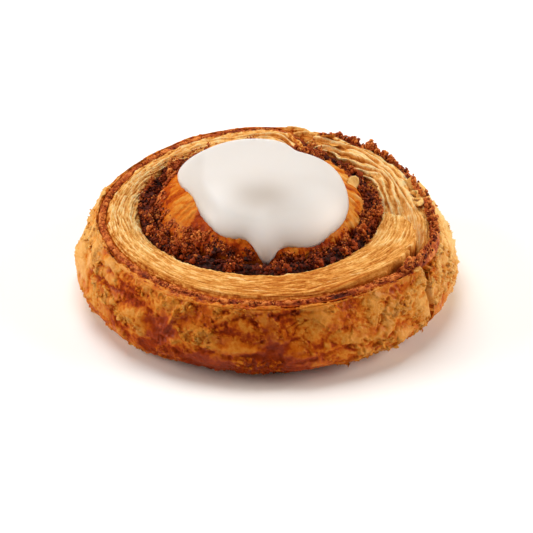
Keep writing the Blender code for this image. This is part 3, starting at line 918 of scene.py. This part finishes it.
def icing_material():
    """White icing with painted shade, greyer towards the back, on the left and over the dip, slightly uneven
    in its gloss and soft under the light.
    """
    shader = Shader("white_icing")
    # The field thin holds painted shade: grey towards the back, on the left and over the dip.
    shader.set(Base_Color=shader.tones(shader.attribute("thin"), ICING_TONES))
    shader.set(Roughness=0.34 + (shader.grain(6.0, 2.0) - 0.5) * 0.12)
    shader.set(Subsurface_Weight=0.7, Subsurface_Scale=0.006, Subsurface_Radius=(1.0, 0.88, 0.76))
    shader.set(IOR=1.46, Specular_IOR_Level=0.35)
    return shader.material


def add_piece(obj, node):
    """Puts a piece on the root, in place of a node if it stands for one."""
    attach(obj, "root")
    if node:
        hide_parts(node)


def make_dough(material):
    """The coil in five lengths. Returns the points and fields of each."""
    pieces = {}
    spread = np.linspace(0.0, 1.0, UPPER_POINTS + 2)[1:-1]
    for name, (low, high, step, wall_points) in DOUGH_LENGTHS.items():
        winding = np.arange(low, high + 0.01, step)
        levels = np.linspace(0.0, 1.0, wall_points)
        points, fields = dough_points(winding, levels, spread, np.linspace(0.0, 1.0, SLOT_POINTS))
        add_piece(grid_mesh(name, points, fields, material), "dough_coil")
        pieces[name] = (points, fields)
    return pieces


def filling_top(winding):
    """Height of the filling's edges, a little below the dough on both sides of it."""
    first = dive(winding, *FIRST_DIVE)
    inside = ramp(winding, *FILLING_CLIMBS)
    line = line_point(winding)
    top = rim_height(winding) * (1 - first) + groove_height(winding) * (first - inside) + dome(line) * inside
    return top - FILLING_SINK


def filling_point(winding, side, lift=0.0):
    """A place on the filling's upper face, heaped by 1 - side^2: side is -1 at its inner edge and 1
    at its outer one."""
    top = filling_top(winding)
    inside = ramp(winding, *FILLING_CLIMBS)
    heap = FILLING_HEAP * along_turns(winding, "thickness")[..., 0] * (1 - inside) * (1 - side**2)
    flat = line_point(winding) + lean(winding, top)
    flat = flat + direction(winding) * (side * thickness(winding, 1.0) / 2)[..., None]
    return raised(flat, top + heap + lift)


def make_filling():
    """The filling's core, a ribbon with a lumpy top, which noise moves outwards."""
    winding = np.arange(FILLING_START, FILLING_END + 0.01, 0.5)
    w = winding[:, None]
    top = filling_top(w)
    bare = 1 - smooth(w / 8.0)
    lowest = FILLING_FOOT * (1 - bare) + (BARE_SHARE + 0.02) * bare
    height = top * (lowest + (1 - lowest) * np.linspace(0.0, 1.0, 12)[None, :])
    faces = [raised(filling_face(w + 0 * height, height, top, side), height) for side in (1.0, -1.0)]
    side = np.linspace(1.0, -1.0, 16)[None, 1:-1]
    crest = filling_point(w + 0 * side, side + 0 * w)
    points = np.concatenate([faces[0], crest, faces[1][:, ::-1]], 1)
    lumps = fractal(2, 91, *np.moveaxis(points / 1.3, -1, 0))
    grow = np.concatenate([0 * height + 0.25, 0 * crest[..., 0] + 0.5, 0 * height + 0.25], 1)
    points = points + grid_normals(points) * (lumps * grow)[..., None]
    patches = 0.38 * noise(np.radians(w) * 15.0, seed=92)
    # From a winding of 240 on, where crumbs cover it, the core is painted dark: the shade in the gaps between
    # the crumbs.
    tone = 0.06 + (0.63 + patches) * (1 - ramp(w, 240.0, 30.0)) + 0.3 * lumps
    tone = tone + hill(w, (-8.0, 16.0, 0.1))
    core = grid_mesh("filling_core", points, {"tone": tone}, crumb_material("filling_core"))
    add_piece(core, "cinnamon_filling")


def ball(subdivisions):
    """(points, triangles) of a round ball of radius 1."""
    shape = bmesh.new()
    bmesh.ops.create_icosphere(shape, subdivisions=subdivisions, radius=1.0)
    mesh = bpy.data.meshes.new("ball")
    shape.to_mesh(mesh)
    shape.free()
    points = np.empty((len(mesh.vertices), 3), np.float32)
    mesh.vertices.foreach_get("co", points.ravel())
    triangles = np.empty((len(mesh.polygons), 3), np.int32)
    mesh.loops.foreach_get("vertex_index", triangles.ravel())
    bpy.data.meshes.remove(mesh)
    return points.astype(float), triangles.astype(int)


def turned(count, draw):
    """Random turns as matrices, each from a random unit quaternion."""
    w, x, y, z = unit(draw.normal(size=(count, 4))).T
    rows = (
        (1 - 2 * (y * y + z * z), 2 * (x * y - w * z), 2 * (x * z + w * y)),
        (2 * (x * y + w * z), 1 - 2 * (x * x + z * z), 2 * (y * z - w * x)),
        (2 * (x * z - w * y), 2 * (y * z + w * x), 1 - 2 * (x * x + y * y)),
    )
    return np.moveaxis(np.array(rows), -1, 0)


def scatter(name, centres, shapes, triangles, fields, material):
    """Joins small closed shapes to one mesh, each at its centre with its own value of each field."""
    count, size = shapes.shape[:2]
    placed = shapes + centres[:, None]
    corners = (triangles[None] + np.arange(count)[:, None, None] * size).reshape(-1)
    starts = np.arange(0, len(corners), 3)
    fields = {field: np.repeat(values, size) for field, values in fields.items()}
    return raw_mesh(name, placed.reshape(-1, 3), corners, starts, fields, material)


def crumb_shapes(points, radii, draw):
    """A ball made lumpy, stretched and turned at random, for each radius."""
    count = len(radii)
    lumpy = draw.uniform(0.6, 1.3, (count, len(points)))
    stretch = draw.uniform(0.75, 1.25, (count, 1, 3))
    shaped = points[None] * lumpy[..., None] * stretch * radii[:, None, None]
    return np.einsum("nij,nkj->nki", turned(count, draw), shaped)


def flake_shapes(points, lengths, frames, draw):
    """A ball pressed flat, ragged at its edge and curled up at its ends by the square of the
    distance along it, for each frame of three directions."""
    count = len(lengths)
    ragged = draw.uniform(0.65, 1.15, (count, len(points), 1))
    flat = np.stack([np.ones(count), draw.uniform(0.4, 0.85, count), draw.uniform(0.05, 0.1, count)], -1)
    shaped = points[None] * flat[:, None]
    shaped[..., :2] *= ragged
    shaped[..., 2] += draw.uniform(0.0, 0.45, (count, 1)) * shaped[..., 0] ** 2
    return np.einsum("nij,nkj->nki", frames, shaped * lengths[:, None, None] / 2)


def surface_frames(points, rows, columns, tilt, turn, draw):
    """Frames at places of a grid, each along the strip, across it and outwards, turned and tilted
    at random."""
    normal = grid_normals(points)[rows, columns]
    along = unit(points[np.minimum(rows + 1, len(points) - 1), columns] - points[rows, columns])
    heading = turn * draw.normal(size=(len(rows), 1))
    along = np.cos(heading) * along + np.sin(heading) * np.cross(normal, along)
    normal = unit(normal + tilt * draw.normal(size=(len(rows), 1)) * along)
    across = unit(np.cross(normal, along))
    return np.stack([np.cross(across, normal), across, normal], -1)


def crumb_band(draw, count, low, high, radii, spill, lift, clumping):
    """(centres, radii, clump) of crumbs along part of the filling. They gather and heap where the
    clump noise is high, lie on the dough beside the filling and keep clear of the icing."""
    winding = draw.uniform(low, high, CRUMB_TRIES * count)
    along = np.radians(winding) * CRUMB_RADIUS
    wander = 0.35 * noise(along / 6.0, seed=99) * (winding > 280.0)
    side = draw.uniform(*spill, CRUMB_TRIES * count) * (1 - hill(winding, CRUMBS_NARROWER))
    side = side + wander + hill(winding, CRUMBS_OUTWARD)
    clump = fractal(2, 95, along / 3.2, side)
    level = 1 - clumping + 2.2 * clumping * clump - hill(winding, CRUMBS_SPARSE)
    keep = draw.uniform(-1, 1, CRUMB_TRIES * count) < level
    winding, side, clump = winding[keep][:count], side[keep][:count], clump[keep][:count]
    radius = radii[0] + (radii[1] - radii[0]) * draw.beta(1.2, 3.2, len(winding))
    height = lift * (0.2 + 1.9 * np.clip(clump, 0, 1)) * draw.uniform(0.0, 1.6, len(winding))
    height = height * (1 - hill(winding, CRUMBS_LOWER))
    centres = filling_point(winding, side, height)
    beside = np.maximum(0.0, -side - 1) * OUTER_TURN["thickness"] / 2
    torn = torn_layers(winding + 360.0, beside, 18.0)[0]
    centres[:, 2] += np.where(winding < CRUMBS_AT_TAIL, torn, 0.0)
    inward = (side < -1) & (winding > 270.0)
    on_dough = dome(centres[:, :2]) + 0.1 * radius + 0.12 * height
    centres[inward, 2] = np.maximum(centres[inward, 2], on_dough[inward])
    offset = centres[:, :2] - ICING_CENTRE
    heading = np.degrees(np.arctan2(offset[:, 1], offset[:, 0]))
    bare = np.hypot(offset[:, 0], offset[:, 1]) > icing_reach(heading) + ICING_CLEARANCE + radius
    return centres[bare], radius[bare], clump[bare]


def make_crumbs():
    """The loose crumbs, band by band, paler where they clump, painted light on their heaps, and darker at the
    front, painted shade.
    """
    draw = np.random.default_rng(21)
    material = crumb_material("crumbs")
    for name, count, (low, high), radii, spill, lift, clumping, tone, spread, subdivisions in CRUMB_BANDS:
        points, triangles = ball(subdivisions)
        centres, radius, clump = crumb_band(draw, count, low, high, radii, spill, lift, clumping)
        front = bump(np.degrees(np.arctan2(centres[:, 1], centres[:, 0])) / 45.0 + 2.0)
        # Painted light and shade: paler where the crumbs heap up, darker at the front.
        tones = tone + 0.04 - 0.12 * front + 0.5 * clump + spread * draw.normal(size=len(centres))
        shapes = crumb_shapes(points, radius, draw)
        add_piece(scatter(name, centres, shapes, triangles, {"tone": tones}, material), None)


def wall_flakes(flake, points, fields, draw):
    """(centres, shapes, bake) of small flakes on a length of the wall, drawn by the square of how
    flaky each place is."""
    chance = fields["flaky"][:-2, 2:WALL_POINTS].ravel() ** 2
    place = draw.choice(len(chance), WALL_FLAKES, p=chance / chance.sum())
    rows, columns = np.divmod(place, WALL_POINTS - 2)
    columns = columns + 2
    lengths = 0.7 + 2.4 * draw.beta(1.2, 4.0, WALL_FLAKES)
    frames = surface_frames(points, rows, columns, 0.2, 0.5, draw)
    centres = points[rows, columns] + frames[:, :, 2] * 0.06
    shapes = flake_shapes(flake, lengths, frames, draw)
    bake = 0.8 * fields["bake"][rows, columns] + 0.08 + 0.05 * draw.normal(size=WALL_FLAKES)
    return centres, shapes, np.maximum(bake, 0.34)


def large_flakes(flake, pieces, draw):
    """(centres, shapes, bake) of the large flakes, each at the point of its section that is nearest
    to its reach."""
    centres, frames = [], []
    for winding, reach, _, _, lift in LARGE_FLAKES:
        name = next(name for name, length in DOUGH_LENGTHS.items() if length[0] <= winding < length[1])
        points = pieces[name][0]
        low, _, step, wall_points = DOUGH_LENGTHS[name]
        row = np.array([int((winding - low) / step)])
        upper = points[row[0], wall_points : wall_points + UPPER_POINTS + 1]
        distance = np.linalg.norm(upper[:, :2] - upper[0, :2], axis=1)
        column = np.array([wall_points + np.argmin(np.abs(distance - reach))])
        frame = surface_frames(points, row, column, 0.3, 0.4, draw)[0]
        centres.append(points[row[0], column[0]] + frame[:, 2] * lift)
        frames.append(frame)
    lengths, bake = np.array(LARGE_FLAKES)[:, 2:4].T
    return np.array(centres), flake_shapes(flake, lengths, np.array(frames), draw), bake


def make_flakes(pieces, material):
    """Small flakes of crust on the three lengths of the wall, and the few large ones."""
    draw = np.random.default_rng(33)
    flake, triangles = ball(2)
    groups = {
        f"crust_flakes_{number}": wall_flakes(flake, *pieces[f"outer_turn_{number}"], draw)
        for number in (1, 2, 3)
    }
    groups["large_flakes"] = large_flakes(flake, pieces, draw)
    for name, (centres, shapes, bake) in groups.items():
        add_piece(scatter(name, centres, shapes, triangles, {"bake": bake}, material), None)


def icing_reach(angle):
    """Distance of the icing's edge from its middle: a circle with a hill or dip for each lobe."""
    reach = np.full_like(angle, ICING_RADIUS)
    for heading, extra, width in ICING_LOBES:
        reach = reach + extra * facing(angle, heading, width)
    return reach


def make_icing():
    """The icing's rings, from the underside's middle round the edge and over the top. Its thickness
    is the root of 1 - share^7 of the way out, less the dip, with slow noise."""
    angle = np.linspace(0.0, 360.0, 361)[None, :-1]
    out = np.stack([np.cos(np.radians(angle)), np.sin(np.radians(angle))], -1)
    share = np.sin(np.linspace(0.03, np.pi / 2, 48))
    shares = np.concatenate([share[::4], share[-2::-1]])[:, None]
    over = np.arange(len(shares))[:, None] >= len(share[::4])
    place = ICING_CENTRE + out * (icing_reach(angle) * shares)[..., None]

    def near(middle):
        """A hill over the dip's ellipse round a place given from the icing's centre."""
        offset = (place - ICING_CENTRE - middle) / ICING_DIP_RADII
        return bump(np.hypot(offset[..., 0], offset[..., 1]))

    lift = ICING_THICKNESS * (1 - shares**7) ** 0.5 - ICING_DIP * near(ICING_DIP_AT)
    slow = fractal(2, 97, place[..., 0] / 14.0, place[..., 1] / 14.0)
    lift = lift + 0.25 * slow * (1 - shares**4)
    height = dome(place) + np.where(over, lift + 0.5, 0.2 - 1.2 * shares**6)
    points = raised(place, height)
    # Painted shade in the field thin: greyer towards the back, on the left and over the dip.
    back = ramp(place[..., 1], *ICING_BACK)
    sides = np.maximum(back, ICING_LEFT_SHARE * ramp(-place[..., 0], *ICING_LEFT))
    thin = (ICING_BACK_SHADE * sides + ICING_DIP_SHADE * near(ICING_SHADE_AT)) * over
    add_piece(grid_mesh("icing_cap", points, {"thin": thin}, icing_material()), "icing")


def make_stage():
    """The pale floor, the soft lights, each turned to its aim, and the camera."""
    scene = bpy.context.scene
    scene.view_settings.view_transform = "Standard"
    floor_mesh = bpy.data.meshes.new("floor")
    corners = [(-4, -4, 0), (4, -4, 0), (4, 4, 0), (-4, 4, 0)]
    floor_mesh.from_pydata(corners, [], [(0, 1, 2, 3)])
    floor = new_object("floor", floor_mesh)
    shader = Shader("floor_white")
    shader.set(Base_Color=linear((251, 252, 253)), Roughness=0.8, Specular_IOR_Level=0.1)
    shader.set(Emission_Color=(1.0, 0.85, 0.7, 1.0), Emission_Strength=0.02)
    floor_mesh.materials.append(shader.material)
    world = bpy.data.worlds.new("studio")
    scene.world = world
    world.use_nodes = True
    air = world.node_tree.nodes["Background"].inputs
    air["Color"].default_value = (1.0, 0.7, 0.5, 1.0)
    air["Strength"].default_value = 0.07
    for name, place, size, power, tint in LIGHTS:
        light = bpy.data.lights.new(name, "AREA")
        light.color = tint
        light.shape = "DISK"
        light.size = size
        light.energy = power
        lamp = new_object(name, light)
        lamp.location = place
        aim = LIGHTS_AIM - np.array(place)
        flat = float(np.hypot(aim[0], aim[1]))
        lamp.rotation_euler = (float(np.arctan2(flat, -aim[2])), 0.0, float(np.arctan2(-aim[0], aim[1])))
    lens = bpy.data.cameras.new("camera")
    lens.sensor_width = 36.0
    lens.lens = 140.0
    camera = new_object("camera", lens)
    camera.location = (0.0, -0.5178, 0.3300)
    camera.rotation_euler = (np.radians(58.0), 0.0, 0.0)
    scene.camera = camera


crust = dough_material()
make_flakes(make_dough(crust), crust)
make_filling()
make_crumbs()
make_icing()
make_stage()
